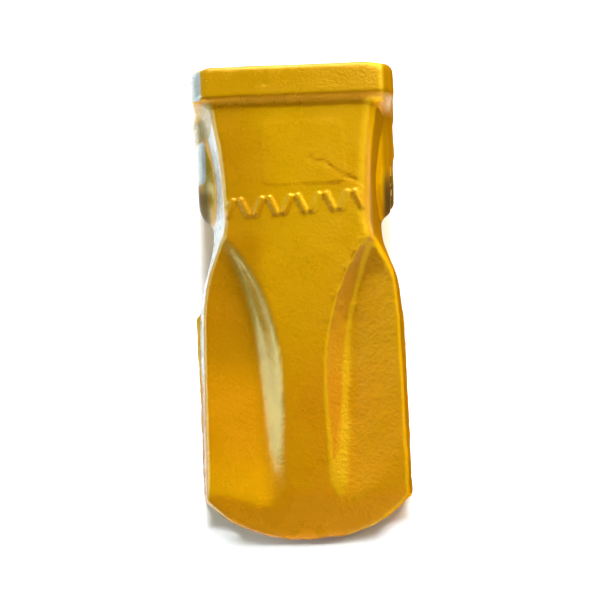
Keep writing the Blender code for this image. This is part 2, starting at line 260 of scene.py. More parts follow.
def cavity_field(x, s, z, right):
    """Everything that is cut out: socket, side channels, the retainer's recess and the pin's bore."""
    along = numpy.clip(s / SOCKET_TAPER_LENGTH, -0.2, 1.0)
    halves = zip(SOCKET_MOUTH_HALF, SOCKET_END_HALF)
    half_x, half_z = (mouth + (end - mouth) * along for mouth, end in halves)
    taper = rounded_rectangle(x, z, half_x, half_z, SOCKET_CORNER)
    socket = smooth_max(taper, s - SOCKET_DEPTH, SEAT_ROUND)
    channel = smooth_max(stadium(s, z, CHANNEL_HALF_HEIGHT), x - CHANNEL_REACH, CHANNEL_ROUND)
    around = numpy.hypot(s - PIN_DISTANCE, z)
    recess = numpy.maximum(around - RECESS_RADIUS, x - RECESS_REACH) - RECESS_EASE
    recess = recess + numpy.where(right, 0, OUT_OF_REACH)
    chamfer = (around - BORE_RADIUS - (x - EAR_REACH + EAR_CHAMFER)) * CHAMFER_SCALE
    bore = numpy.minimum(around - BORE_RADIUS, chamfer)
    hollow = smooth_min(socket, channel, CHANNEL_BLEND)
    return numpy.minimum(numpy.minimum(hollow, recess), bore)


def casting_field(x, s, z):
    """Below zero inside the casting, in millimetres."""
    across, off = numpy.abs(x), numpy.abs(z)
    solid = smooth_min(body_field(across, s, off, x < 0), ear_field(across, s, off), JOIN_BLEND)
    solid = smooth_min(solid, collar_field(across, s, off), JOIN_BLEND)
    solid = smooth_max(solid, -s, CUT_BLEND)
    return smooth_max(solid, -cavity_field(across, s, off, x > 0), CUT_BLEND)


# ---------------------------------------------------------------------------------------------
# What the foundry leaves on the skin: heights along the normal, in millimetres
# ---------------------------------------------------------------------------------------------
RANDOM = numpy.random.default_rng(7)
LATTICE_SIZE = 32
LATTICE = RANDOM.uniform(-1.0, 1.0, (LATTICE_SIZE,) * 3)


def value_noise(points, size):
    """Smooth noise between -1 and 1 with lumps about as wide as the size."""
    scaled = points / size
    base = numpy.floor(scaled).astype(int)
    t = scaled - base
    t = t * t * (3 - 2 * t)
    total = 0.0
    for corner in numpy.ndindex(2, 2, 2):
        weight = numpy.prod([t[:, k] if corner[k] else 1 - t[:, k] for k in range(3)], axis=0)
        i, j, k = ((base + corner) % LATTICE_SIZE).T
        total = total + weight * LATTICE[i, j, k]
    return total


def smooth_step(low, high, value):
    """From 0 at the low limit to 1 at the high one, with soft ends."""
    t = numpy.clip((value - low) / (high - low), 0, 1)
    return t * t * (3 - 2 * t)


def segment_distance(x, s, start, end):
    """Distance on the face from a straight line between two places."""
    along = numpy.subtract(end, start)
    t = numpy.clip(((x - start[0]) * along[0] + (s - start[1]) * along[1]) / (along ** 2).sum(), 0, 1)
    return numpy.hypot(x - start[0] - t * along[0], s - start[1] - t * along[1])


MARK_COUNT = 10
MARK_PITCH = 9.8
MARK_HEIGHT = 1.3
MARK_HALF_LENGTH = 5.5
MARK_HALF_WIDTH = 1.55
MARK_FOOT, MARK_SHOULDER = 1.1, 0.6
FIRST_MARK = (-46.0, 96.3)
MARK_ROW_SLOPE = -0.04
MARK_LEAN = 0.42
MARK_RISE = -0.9

# Across and along, in millimetres
PAD_CENTRE = (5.0, 60.0)
PAD_HALF = (29.0, 21.0)
PAD_CORNER = 5.0
PAD_HEIGHT = 0.3
VEIN_PLACES = ((9.0, 66.0), (20.0, 67.5), (32.0, 77.0), (45.0, 81.5), (50.0, 89.0))
VEIN_DEPTH = 0.55
# Place, radius and depth
GAS_PITS = (((-19.0, 13.0), 2.2, 0.8), ((11.0, 64.0), 1.8, 0.6), ((34.0, 49.0), 1.5, 0.4))
SCAR_COUNT = 14
SCAR_HEIGHT = 0.7
SCAR_ROW_START, SCAR_ROW_RUN = (47.0, 112.0), (-21.0, 42.0)
# The fin on the left stands out most at the blade's shoulder
FIN_LEFT_REACH = 2.6
FIN_LEFT_START = 163.0
FIN_LEFT_FADE = 40.0


def foundry_marks(x, s):
    """A row of plain raised bars that lean left and right by turns and stand for no character."""
    height = numpy.zeros_like(x)
    for i in range(MARK_COUNT):
        middle = numpy.array(FIRST_MARK) + numpy.array((1.0, MARK_ROW_SLOPE)) * i * MARK_PITCH
        lean = numpy.array((MARK_LEAN * (-1) ** i, MARK_RISE)) * MARK_HALF_LENGTH
        away = segment_distance(x, s, middle - lean, middle + lean)
        beside = away - MARK_HALF_WIDTH
        height += MARK_HEIGHT * smooth_step(MARK_FOOT, -MARK_SHOULDER, beside)
    return height


def pad_outline(x, s):
    """A shallow raised pad with round corners, where the pattern had an insert."""
    beside, beyond = numpy.abs(x - PAD_CENTRE[0]), numpy.abs(s - PAD_CENTRE[1])
    away = rounded_rectangle(beside, beyond, *PAD_HALF, PAD_CORNER)
    return PAD_HEIGHT * smooth_step(0.8, -0.8, away)


def mould_vein(x, s):
    """A fine crack that the sand mould left in the face."""
    pieces = zip(VEIN_PLACES, VEIN_PLACES[1:])
    away = numpy.min([segment_distance(x, s, start, end) for start, end in pieces], axis=0)
    return -VEIN_DEPTH * smooth_step(1.4, 0.2, away)


def gas_pits(x, s):
    """Small round dimples that gas left in the face."""
    height = numpy.zeros_like(x)
    for place, radius, depth in GAS_PITS:
        height -= depth * smooth_step(radius, 0.2 * radius, numpy.hypot(x - place[0], s - place[1]))
    return height


def sand_scars(x, s):
    """Small crescent bumps down the right-hand crest, where the mould's edge crumbled."""
    height = numpy.zeros_like(x)
    for i in range(SCAR_COUNT):
        t = i / (SCAR_COUNT - 1)
        centre = (SCAR_ROW_START[0] + SCAR_ROW_RUN[0] * t + RANDOM.uniform(-4.0, 1.5),
                  SCAR_ROW_START[1] + SCAR_ROW_RUN[1] * t + RANDOM.uniform(-2.0, 2.0))
        radius = RANDOM.uniform(1.6, 3.4)
        ring = numpy.abs(numpy.hypot(x - centre[0], (s - centre[1]) * 0.8) - radius)
        open_side = smooth_step(-1.0, 1.5, x - centre[0] + 0.6 * (s - centre[1]))
        height += SCAR_HEIGHT * smooth_step(1.4, 0.2, ring) * open_side
    return height


def flash_reach(x, s, points):
    """The ragged fin on the parting line of the blade."""
    ragged = value_noise(points, 5.0) * 0.35 + value_noise(points + 40.0, 2.2) * 0.25
    left = FIN_LEFT_REACH * smooth_step(FIN_LEFT_START - 4.0, FIN_LEFT_START, s)
    left = left * numpy.exp(-numpy.maximum(s - FIN_LEFT_START, 0) / FIN_LEFT_FADE)
    start = smooth_step(150.0, 170.0, s)
    return numpy.where(x < 0, left, 0.25) + start * (0.45 + ragged)


def cast_detail(points, normals):
    """All the skin's heights, none of them inside the cavity."""
    x, s, z = points.T
    top = smooth_step(0.75, 0.93, normals[:, 2]) * (z > 12.0)
    outside = smooth_step(0.3, 2.0, cavity_field(numpy.abs(x), s, numpy.abs(z), x > 0))
    rough = smooth_step(-5.0, 30.0, x) * smooth_step(100.0, 150.0, s)
    skin = (value_noise(points, 24.0) * 0.30 + value_noise(points + 90.0, 9.0) * 0.10
            + value_noise(points + 30.0, 4.5) * (0.05 + 0.11 * rough))
    face = sum(detail(x, s) for detail in (foundry_marks, pad_outline, mould_vein, gas_pits, sand_scars))
    sideways = smooth_step(0.6, 0.85, numpy.abs(normals[:, 0]))
    fin = smooth_step(1.7, 0.0, numpy.abs(z)) * sideways * flash_reach(x, s, points)
    tip = smooth_step(0.5, 0.9, normals[:, 1]) * smooth_step(285.0, 295.0, s)
    nibbles = value_noise(points * (1.0, 1.0, 0.3), 14.0) * 0.9 + value_noise(points + 60.0, 5.0) * 0.35
    return (skin + top * face + fin + tip * nibbles) * outside


# ---------------------------------------------------------------------------------------------
# Mesh making
# ---------------------------------------------------------------------------------------------
def net_surface(field, axes):
    """A quad mesh over the zero surface of a field: one vertex a crossed cell, then settled on it."""
    grid = numpy.meshgrid(*axes, indexing="ij")
    value = field(*grid)
    inside = value < 0
    cells = tuple(n - 1 for n in value.shape)
    total = numpy.zeros(cells + (3,))
    crossings = numpy.zeros(cells)
    for axis in range(3):
        near = [slice(None)] * 3
        far = [slice(None)] * 3
        near[axis], far[axis] = slice(None, -1), slice(1, None)
        a, b = value[tuple(near)], value[tuple(far)]
        crossed = (a < 0) != (b < 0)
        t = numpy.where(crossed, a / numpy.where(crossed, a - b, 1), 0)
        others = [k for k in range(3) if k != axis]
        for i in (0, 1):
            for j in (0, 1):
                pick = [slice(None)] * 3
                pick[others[0]] = slice(i, i + cells[others[0]])
                pick[others[1]] = slice(j, j + cells[others[1]])
                hit, along = crossed[tuple(pick)], t[tuple(pick)]
                crossings += hit
                total[..., axis] += along
                total[..., others[0]] += hit * i
                total[..., others[1]] += hit * j
    active = crossings > 0
    number = numpy.full(cells, -1)
    number[active] = numpy.arange(active.sum())
    corner = numpy.argwhere(active)
    position = corner + total[active] / crossings[active][:, None]
    columns = [numpy.interp(position[:, k], numpy.arange(len(axes[k])), axes[k]) for k in range(3)]
    points = numpy.stack(columns, axis=1)
    quads = []
    for axis in range(3):
        u, v = (axis + 1) % 3, (axis + 2) % 3
        near, far = [slice(1, -1)] * 3, [slice(1, -1)] * 3
        near[axis], far[axis] = slice(0, -1), slice(1, None)
        a, b = inside[tuple(near)], inside[tuple(far)]
        start = numpy.argwhere(a != b)
        outward = a[a != b]
        start[:, u] += 1
        start[:, v] += 1
        ring = []
        for du, dv in ((1, 1), (0, 1), (0, 0), (1, 0)):
            cell = start.copy()
            cell[:, u] -= du
            cell[:, v] -= dv
            ring.append(number[tuple(cell.T)])
        ring = numpy.stack(ring, axis=1)
        quads.append(numpy.where(outward[:, None], ring, ring[:, ::-1]))
    return settle(field, points, SETTLE_ROUNDS), numpy.concatenate(quads)


def gradient(field, points, reach=0.2):
    """The field's slope at each point, from its values a little to either side."""
    slopes = []
    for axis in range(3):
        shift = numpy.zeros(3)
        shift[axis] = reach
        slopes.append((field(*(points + shift).T) - field(*(points - shift).T)) / (2 * reach))
    return numpy.stack(slopes, axis=1)


def settle(field, points, rounds):
    """Newton steps that carry points onto the zero surface."""
    for _ in range(rounds):
        slope = gradient(field, points)
        size = numpy.maximum((slope ** 2).sum(axis=1), 0.05)
        move = -field(*points.T)[:, None] * slope / size[:, None]
        points = points + numpy.clip(move, -1.0, 1.0)
    return points


def to_world(points):
    """Axis-frame millimetres to metres in the frame."""
    x, s, z = (points[:, i:i + 1] * MM for i in range(3))
    return (numpy.array(MOUTH_CENTRE) + x * numpy.array((1.0, 0.0, 0.0))
            - s * numpy.array(MOUTHWARD) + z * numpy.array(FACEWARD))


def add_object(name, data):
    """A new object in the scene that holds a mesh, a lamp or a camera."""
    piece = bpy.data.objects.new(name, data)
    bpy.context.scene.collection.objects.link(piece)
    return piece


def mesh_of(name, points, faces):
    """A new mesh from plain lists of points and faces."""
    mesh = bpy.data.meshes.new(name)
    mesh.from_pydata(points, [], faces)
    return mesh


def graded(low, band_low, band_high, high, step, fine_step):
    """Grid lines that are closer together inside a band."""
    below, above = numpy.arange(low, band_low, step), numpy.arange(band_high, high, step)
    return numpy.concatenate((below, numpy.arange(band_low, band_high, fine_step), above))


def make_casting():
    """The tooth point: enamel outside, raw iron in the socket, matt enamel on the right wall."""
    step_x, step_s, step_z = GRID_STEPS
    axes = (numpy.arange(-GRID_HALF_WIDTH, GRID_HALF_WIDTH, step_x),
            graded(-GRID_BEFORE_MOUTH, *MARK_BAND, TOOTH_LENGTH + GRID_BEYOND_TIP, step_s, MARK_STEP),
            graded(-GRID_HALF_HEIGHT, -FLASH_BAND, FLASH_BAND, GRID_HALF_HEIGHT, step_z, FLASH_STEP))
    points, quads = net_surface(casting_field, axes)
    slope = gradient(casting_field, points)
    normals = slope / numpy.linalg.norm(slope, axis=1, keepdims=True)
    points = points + normals * cast_detail(points, normals)[:, None]
    # The axis frame (x, s, z) is left-handed, so the quads are turned over.
    mesh = mesh_of("tooth_casting", to_world(points).tolist(), quads[:, ::-1].tolist())
    mesh.shade_smooth()
    mesh.materials.append(yellow_paint("yellow enamel", 0.2))
    mesh.materials.append(socket_skin())
    mesh.materials.append(yellow_paint("matt yellow enamel", 0.0))
    x, s, z = points[quads].mean(axis=1).T
    in_cavity = cavity_field(numpy.abs(x), s, numpy.abs(z), x > 0) < CAVITY_SKIN
    right_wall = (x > RIGHT_WALL_START) & (normals[quads[:, 0], 0] > RIGHT_WALL_FACING) & ~in_cavity
    material_numbers = numpy.where(right_wall, 2, in_cavity).astype(numpy.int32)
    mesh.polygons.foreach_set("material_index", material_numbers)
    finish_piece(add_object("tooth_casting", mesh), "tooth", "tooth_point")


# ---------------------------------------------------------------------------------------------
# Pin and retainer, turned round the pin's axis; profiles are (radius, place along +X), millimetres
# ---------------------------------------------------------------------------------------------
TURNED_SEGMENTS = 144
SHARP_ANGLE = 40.0
WEB_COUNT = 8
POCKET_DEPTH = 0.7
RUBBER_FACE_STEPS = 6


def rounded(corners, radii, closed, steps=4):
    """The corners of a profile with each one turned into a short arc of about its radius."""
    path = []
    count = len(corners)
    for i, (corner, radius) in enumerate(zip(corners, radii)):
        if radius == 0 or (not closed and i in (0, count - 1)):
            path.append(tuple(corner))
            continue
        here = Vector(corner)
        back = (Vector(corners[i - 1]) - here).normalized() * radius
        ahead = (Vector(corners[(i + 1) % count]) - here).normalized() * radius
        for k in range(steps + 1):
            t = k / steps
            path.append(tuple(here + back * (1 - t) ** 2 + ahead * t ** 2))
    return path


def sweep_round(name, profile, closed, start=0.0, end=math.tau, relief=None):
    """Turn a profile round the pin's axis; a part turn gets flat ends.

    A relief is a function that says how far each point is shifted along +X.
    """
    full = end - start >= math.tau - 1e-6
    turns = max(8, round(TURNED_SEGMENTS * (end - start) / math.tau))
    angles = numpy.linspace(start, end, turns, endpoint=not full)
    radius, along = numpy.array(profile).T
    points = []
    for angle in angles:
        shift = relief(radius, along, angle) if relief else 0.0
        s = PIN_DISTANCE + radius * math.cos(angle)
        points.append(numpy.stack((along + shift, s, radius * math.sin(angle)), axis=1))
    count = len(profile)
    quads = []
    for i in range(turns if full else turns - 1):
        for j in range(count if closed else count - 1):
            near, far = i * count, (i + 1) % turns * count
            quads.append((near + j, near + (j + 1) % count, far + (j + 1) % count, far + j))
    last = (turns - 1) * count
    caps = [] if full else [tuple(range(count))[::-1], tuple(range(last, last + count))]
    mesh = mesh_of(name, to_world(numpy.concatenate(points)).tolist(), quads + caps)
    weld(mesh)
    mesh.shade_smooth()
    mesh.set_sharp_from_angle(angle=math.radians(SHARP_ANGLE))
    return add_object(name, mesh)


def weld(mesh):
    """Join points that fall together on the axis, and turn every face outward."""
    bm = bmesh.new()
    bm.from_mesh(mesh)
    bmesh.ops.remove_doubles(bm, verts=bm.verts, dist=1e-6)
    bmesh.ops.recalc_face_normals(bm, faces=bm.faces)
    bm.to_mesh(mesh)
    bm.free()


def make_pin():
    """A turned bar: drilled centres, chamfers, one groove with a lead-in, and a struck end."""
    centre = RETAINER_HIGH - RETAINER_WIDTH / 2
    half_groove = JAW_WIDTH / 2 + GAP
    # Radius, distance in from the end and rounding, from the drilled centre to the outside
    end_corners = ((0.0, 2.2, 0), (1.0, 2.0, 0.3), (2.6, 0.0, 0.3),
                   (PIN_RADIUS - PIN_CHAMFER, 0.0, 0.6), (PIN_RADIUS, PIN_CHAMFER, 0.6))
    right_end = [(radius, PIN_HALF_LENGTH - inward, rounding) for radius, inward, rounding in end_corners]
    left_end = [(radius, -place, rounding) for radius, place, rounding in reversed(right_end)]
    groove = [(PIN_RADIUS, centre + half_groove + 0.4, 0.25), (GROOVE_RADIUS, centre + half_groove, 0.3),
              (GROOVE_RADIUS, centre - half_groove, 0.3), (PIN_RADIUS, centre - half_groove - 2.0, 0.5)]
    profile = right_end + groove + [(PIN_RADIUS, 0.0, 0)] + left_end
    corners = [(radius, place) for radius, place, _ in profile]
    roundings = [rounding for _, _, rounding in profile]
    pin = sweep_round("locking_pin", rounded(corners, roundings, False), False, relief=struck_end)
    pin.data.materials.append(oiled_steel())
    finish_piece(pin, "pin", "lock_pin")


def struck_end(radius, along, angle):
    """Hammer blows dish the end that the pin is driven in by."""
    dent = numpy.cos(3 * angle + 0.6) * 0.12 + numpy.cos(5 * angle + 2.0) * 0.08 - 0.25
    at_end = along > PIN_HALF_LENGTH - 0.5
    return numpy.where(at_end, dent * smooth_step(2.6, 6.0, radius), 0.0)


def ring_corners(inner, outer, low, high):
    """The four corners of a ring's section."""
    return ((inner, low), (inner, high), (outer, high), (outer, low))


def rubber_pockets(radius, along, angle):
    """Both faces of the rubber are dished between eight small webs."""
    middle = (JAW_OUTER_RADIUS + SHELL_INNER) / 2
    between_webs = 0.35 + 0.65 * smooth_step(-0.6, 0.2, math.cos(WEB_COUNT * angle))
    dish = smooth_step(1.2, 0.4, numpy.abs(radius - middle)) * between_webs
    return numpy.sign(RETAINER_HIGH - RETAINER_WIDTH / 2 - along) * dish * POCKET_DEPTH


def make_retainer():
    """Pressed steel shell, rubber ring and two jaws that snap into the pin's groove."""
    low, high = RETAINER_HIGH - RETAINER_WIDTH, RETAINER_HIGH
    section = rounded(ring_corners(SHELL_INNER, SHELL_OUTER, low, high), (0.5, 0.7, 0.9, 0.9), True)
    shell = sweep_round("retainer_steel_shell", section, True)
    shell.data.materials.append(pressed_steel("pressed shell steel"))
    finish_piece(shell, "retainer", "retainer_shell")

    inner, outer = JAW_OUTER_RADIUS + GAP, SHELL_INNER - GAP
    face = [inner + (outer - inner) * k / RUBBER_FACE_STEPS for k in range(1, RUBBER_FACE_STEPS)]
    section = [(inner, low + 0.3), (inner, high - 0.3)] + [(radius, high) for radius in face]
    section += [(outer, high - 0.3), (outer, low + 0.3)] + [(radius, low) for radius in reversed(face)]
    rubber = sweep_round("retainer_rubber_ring", section, True, relief=rubber_pockets)
    rubber.data.materials.append(moulded_rubber())
    finish_piece(rubber, "retainer", "retainer_rubber")

    inset = (RETAINER_WIDTH - JAW_WIDTH) / 2
    corners = ring_corners(GROOVE_RADIUS + GAP, JAW_OUTER_RADIUS, low + inset, high - inset)
    section = rounded(corners, (0.8, 0.8, 0.4, 0.4), True)
    steel = pressed_steel("jaw steel")
    half_slit = math.asin(JAW_SLIT / 2 / GROOVE_RADIUS)
    for start, label in ((0.0, "upper"), (math.pi, "lower")):
        first, last = start + half_slit, start + math.pi - half_slit
        jaw = sweep_round(f"gripping_jaw_{label}", section, True, first, last)
        jaw.data.materials.append(steel)
        finish_piece(jaw, "retainer", f"retainer_jaw_{label}")


def finish_piece(piece, body, node):
    """Hide the CAD node that a piece stands for, and hang the piece on the body it rides on."""
    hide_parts(node)
    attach(piece, body)


# ---------------------------------------------------------------------------------------------
# Materials
# ---------------------------------------------------------------------------------------------
class Nodes:
    """A material's node tree with short ways to add and join nodes."""

    def __init__(self, name):
        """A new material with its shader, and the place that its textures use."""
        self.material = bpy.data.materials.new(name)
        self.material.use_nodes = True
        self.tree = self.material.node_tree
        self.shader = self.tree.nodes["Principled BSDF"]
        self.place = self.add("ShaderNodeTexCoord").outputs["Object"]

    def add(self, kind, **settings):
        """A new node with its settings."""
        node = self.tree.nodes.new(kind)
        for name, value in settings.items():
            setattr(node, name, value)
        return node

    def join(self, value, socket):
        """Link a socket's source, or set its plain value."""
        if isinstance(value, bpy.types.NodeSocket):
            self.tree.links.new(value, socket)
        else:
            socket.default_value = value

    def noise(self, scale, detail=3.0, roughness=0.5, place=None):
        """Cloudy noise between 0 and 1; a larger scale makes finer grain."""
        node = self.add("ShaderNodeTexNoise")
        self.join(place or self.place, node.inputs["Vector"])
        node.inputs["Scale"].default_value = scale
        node.inputs["Detail"].default_value = detail
        node.inputs["Roughness"].default_value = roughness
        return node.outputs["Fac"]

    def math(self, operation, a, b=0.0, clamp=False):
        """One step of arithmetic on one or two values."""
        node = self.add("ShaderNodeMath", operation=operation, use_clamp=clamp)
        self.join(a, node.inputs[0])
        self.join(b, node.inputs[1])
        return node.outputs[0]

    def times(self, first, *others):
        """The product of all the values."""
        for other in others:
            first = self.math("MULTIPLY", first, other)
        return first

    def plus(self, a, b, clamp=False):
        """The sum of two values."""
        return self.math("ADD", a, b, clamp)

    def larger(self, a, b):
        """The larger of two values."""
        return self.math("MAXIMUM", a, b)

    def size_of(self, value):
        """The value without its sign."""
        return self.math("ABSOLUTE", value)

    def rest_of(self, value):
        """What the value leaves of one."""
        return self.math("SUBTRACT", 1.0, value)

    def span(self, value, low, high, out_low=0.0, out_high=1.0):
        """Map a range of the value, with soft ends, to another range."""
        node = self.add("ShaderNodeMapRange", interpolation_type="SMOOTHSTEP")
        self.join(value, node.inputs["Value"])
        node.inputs["From Min"].default_value = low
        node.inputs["From Max"].default_value = high
        node.inputs["To Min"].default_value = out_low
        node.inputs["To Max"].default_value = out_high
        return node.outputs["Result"]

    def mix(self, factor, a, b):
        """The first colour at a factor of 0, the second at 1."""
        node = self.add("ShaderNodeMix", data_type="RGBA")
        self.join(factor, node.inputs["Factor"])
        self.join(a, node.inputs[6])
        self.join(b, node.inputs[7])
        return node.outputs[2]

    def stretched(self, scale):
        """The place, scaled by a different number on each axis."""
        node = self.add("ShaderNodeMapping")
        self.join(self.place, node.inputs["Vector"])
        node.inputs["Scale"].default_value = scale
        return node.outputs["Vector"]

    def axis(self, direction, origin):
        """Distance in metres along a direction from an origin."""
        node = self.add("ShaderNodeVectorMath", operation="DOT_PRODUCT")
        self.join(self.place, node.inputs[0])
        node.inputs[1].default_value = direction
        return self.math("SUBTRACT", node.outputs["Value"], Vector(direction).dot(Vector(origin)))

    def facing(self):
        """The normal's three parts in the object's own frame."""
        split = self.add("ShaderNodeSeparateXYZ")
        self.join(self.add("ShaderNodeTexCoord").outputs["Normal"], split.inputs[0])
        return split.outputs["X"], split.outputs["Y"], split.outputs["Z"]

    def glance(self):
        """From 0 where the surface is seen square on to 1 at its outline."""
        node = self.add("ShaderNodeLayerWeight")
        node.inputs["Blend"].default_value = 0.5
        return node.outputs["Facing"]

    def pointiness(self):
        """Above one half on convex edges and below it in creases."""
        return self.add("ShaderNodeNewGeometry").outputs["Pointiness"]

    def bump(self, height, distance, strength=1.0, below=None):
        """A normal that shows the height as relief, on top of the relief below."""
        node = self.add("ShaderNodeBump")
        node.inputs["Strength"].default_value = strength
        node.inputs["Distance"].default_value = distance
        self.join(height, node.inputs["Height"])
        if below:
            self.join(below, node.inputs["Normal"])
        return node.outputs["Normal"]

    def finish(self, colour, roughness, normal, metallic=0.0):
        """Give the shader its main values and hand back the material."""
        self.join(colour, self.shader.inputs["Base Color"])
        self.join(roughness, self.shader.inputs["Roughness"])
        self.join(normal, self.shader.inputs["Normal"])
        self.join(metallic, self.shader.inputs["Metallic"])
        return self.material


# Linear red, green and blue
ORANGE_YELLOW = (0.74, 0.30, 0.001, 1)
LEMON_YELLOW = (0.76, 0.40, 0.001, 1)
# DEEP_ORANGE serves random darker spots and painted shade; SIDE_ORANGE, STEP_ORANGE and SLOPE_OLIVE are
# painted shade; BEVEL_ORANGE and FOOT_LEMON are painted light.
DEEP_ORANGE = (0.50, 0.20, 0.001, 1)
SIDE_ORANGE = (0.30, 0.125, 0.001, 1)
STEP_ORANGE = (0.62, 0.27, 0.001, 1)
BEVEL_ORANGE = (0.81, 0.32, 0.001, 1)
# COLLAR_YELLOW is painted shade; FLUTE_YELLOW and TIP_YELLOW are painted light.
COLLAR_YELLOW = (0.58, 0.30, 0.001, 1)
FLUTE_YELLOW = (0.80, 0.335, 0.001, 1)
TIP_YELLOW = (0.93, 0.43, 0.001, 1)
SLOPE_OLIVE = (0.40, 0.27, 0.002, 1)
# Painted shade in the fillet under the collar's left corner.
CORNER_OLIVE = (0.20, 0.15, 0.03, 1)
FOOT_LEMON = (0.82, 0.47, 0.002, 1)
# Painted shade at the ears' lower ends.
EAR_END_SHADE = (0.06, 0.044, 0.014, 1)
# Painted reflection on the left side.
PAINTED_REFLECTION_WHITE = (0.45, 0.54, 0.58, 1)
BARE_IRON = (0.16, 0.15, 0.14, 1)
RAW_IRON = (0.055, 0.05, 0.046, 1)
PALE_IRON = (0.12, 0.105, 0.09, 1)
SOCKET_RUST = (0.16, 0.055, 0.018, 1)
OILED_STEEL = (0.045, 0.047, 0.055, 1)
DRY_STEEL = (0.11, 0.11, 0.115, 1)
RUBBED_STEEL = (0.30, 0.30, 0.31, 1)
BRIGHT_EDGE = (0.48, 0.47, 0.46, 1)
PIN_RUST = (0.19, 0.065, 0.02, 1)
DULL_PLATING = (0.27, 0.27, 0.28, 1)
PLATING = (0.43, 0.43, 0.43, 1)
PLATED_EDGE = (0.62, 0.61, 0.60, 1)
PLATING_RUST = (0.17, 0.08, 0.04, 1)
BLACK_RUBBER = (0.014, 0.014, 0.015, 1)
RUBBER_BLOOM = (0.045, 0.044, 0.042, 1)
FLOOR_PALE = (0.86, 0.87, 0.88, 1)
FLOOR_WHITE = (0.9, 0.9, 0.9, 1)
RIGHTWARD = Vector((1, 0, 0))


# In the shader functions below, across and along are distances in metres from the mouth's centre,
# towards the right and towards the tip. A span's limits say where a tone starts and where it is full.
def enamel_colour_with_painted_light(n, across, along):
    """Sprayed enamel: lemon over the box, orange along the rib towards the tip, cloudy, with random
    darker spots. Painted shade darkens the box's left part, the upper left flute and the collar; painted
    light brightens the left flute towards the tip.
    """
    on_rib = n.times(n.span(across, -0.038, -0.018, 0.6, 0.9), n.span(across, 0.018, 0.034, 1.0, 0.6))
    orange = n.times(n.span(along, 0.06, 0.26), on_rib)
    cloud = n.span(n.noise(16.0, 2.0), 0.35, 0.65, -0.15, 0.3)
    colour = n.mix(n.plus(orange, cloud, clamp=True), LEMON_YELLOW, ORANGE_YELLOW)
    # Painted shade on the left part of the box; the noise below adds random darker spots.
    left_box_shade = n.times(n.span(across, -0.005, -0.045, 0.0, 0.5), n.span(along, 0.14, 0.10))
    pooled_spots_and_left_shade = n.plus(n.span(n.noise(300.0, 3.0), 0.5, 0.75, 0.0, 0.15), left_box_shade)
    colour = n.mix(pooled_spots_and_left_shade, colour, DEEP_ORANGE)
    left_flute = n.span(across, -0.02, -0.033)
    # Painted shade in the upper part of the left flute.
    upper_flute_shade = n.times(n.span(along, 0.105, 0.125), n.span(along, 0.225, 0.185, 0.0, 0.6))
    colour = n.mix(n.times(left_flute, upper_flute_shade), colour, DEEP_ORANGE)
    # Painted light on the left flute, growing towards the tip.
    colour = n.mix(n.times(left_flute, n.span(along, 0.19, 0.23)), colour, FLUTE_YELLOW)
    colour = n.mix(n.times(left_flute, n.span(along, 0.25, 0.29)), colour, TIP_YELLOW)
    # Painted shade: the collar gets a darker copy of the lemon.
    return n.mix(n.span(along, 0.027, 0.022, 0.0, 0.85), colour, COLLAR_YELLOW)


def ear_end_shade(n, across, along):
    """Painted shade round the lower ends of the ears, next to the pin."""
    on_ear = n.times(n.span(n.size_of(across), 0.059, 0.064), n.span(along, 0.100, 0.096))
    uneven = n.times(n.noise(60.0, 3.0), 0.012)
    return n.times(n.span(n.plus(along, uneven), 0.070, 0.086), on_ear, 0.8)


def collar_corner_shade(n, across, along):
    """The fillet between the collar and the box, on the left, where shade is painted."""
    beside = n.times(n.span(across, -0.054, -0.059), n.span(along, 0.046, 0.036))
    return n.times(beside, n.span(along, 0.022, 0.026))


def painted_light_and_shade(n, colour, facing, across, along):
    """Painted light and shade by which way a surface faces: the sides, steps and slopes are deeper in
    colour as painted shade, and the bevel and the right flute's foot are lighter as painted highlights.
    """
    sideways, endways, _ = facing
    glance = n.glance()
    # Painted shade on the sides, seen at a glance.
    side_shade = n.times(n.span(n.size_of(sideways), 0.55, 0.95), n.span(glance, 0.35, 0.65))
    colour = n.mix(side_shade, colour, SIDE_ORANGE)
    # Painted shade on the collar's step, which faces the tip, and painted light on the tip's bevel.
    step_shade_and_bevel_light = n.mix(n.span(along, 0.20, 0.25), STEP_ORANGE, BEVEL_ORANGE)
    colour = n.mix(n.span(endways, -0.38, -0.47), colour, step_shade_and_bevel_light)
    # Painted shade on the slopes that lean left.
    left_slope_shade = n.times(n.span(sideways, -0.25, -0.5), n.span(sideways, -0.85, -0.65))
    colour = n.mix(n.times(left_slope_shade, 0.8), colour, SLOPE_OLIVE)
    # Painted highlight along the foot of the right flute.
    right_foot_highlight = n.times(n.span(sideways, 0.05, 0.25), n.span(sideways, 0.55, 0.4))
    colour = n.mix(n.times(right_foot_highlight, n.span(across, -0.005, 0.005, 0.0, 0.8)), colour, FOOT_LEMON)
    # Painted shade on the slopes that lean right.
    right_slope_shade = n.times(n.span(sideways, 0.48, 0.6), n.span(sideways, 0.9, 0.8))
    colour = n.mix(n.times(right_slope_shade, 0.25), colour, DEEP_ORANGE)
    # Painted shade on the right sides of the collar and ear.
    right_side_shade = n.times(n.span(across, 0.060, 0.064), n.span(along, 0.106, 0.102))
    colour = n.mix(n.times(right_side_shade, 0.75), colour, SIDE_ORANGE)
    # Painted shade in the fillet under the collar's left corner.
    colour = n.mix(collar_corner_shade(n, across, along), colour, CORNER_OLIVE)
    # Painted shade on the blade's left flank.
    left_flank_shade = n.times(n.span(sideways, -0.7, -0.9, 0.0, 0.8), n.span(along, 0.17, 0.21))
    return n.mix(left_flank_shade, colour, SIDE_ORANGE)


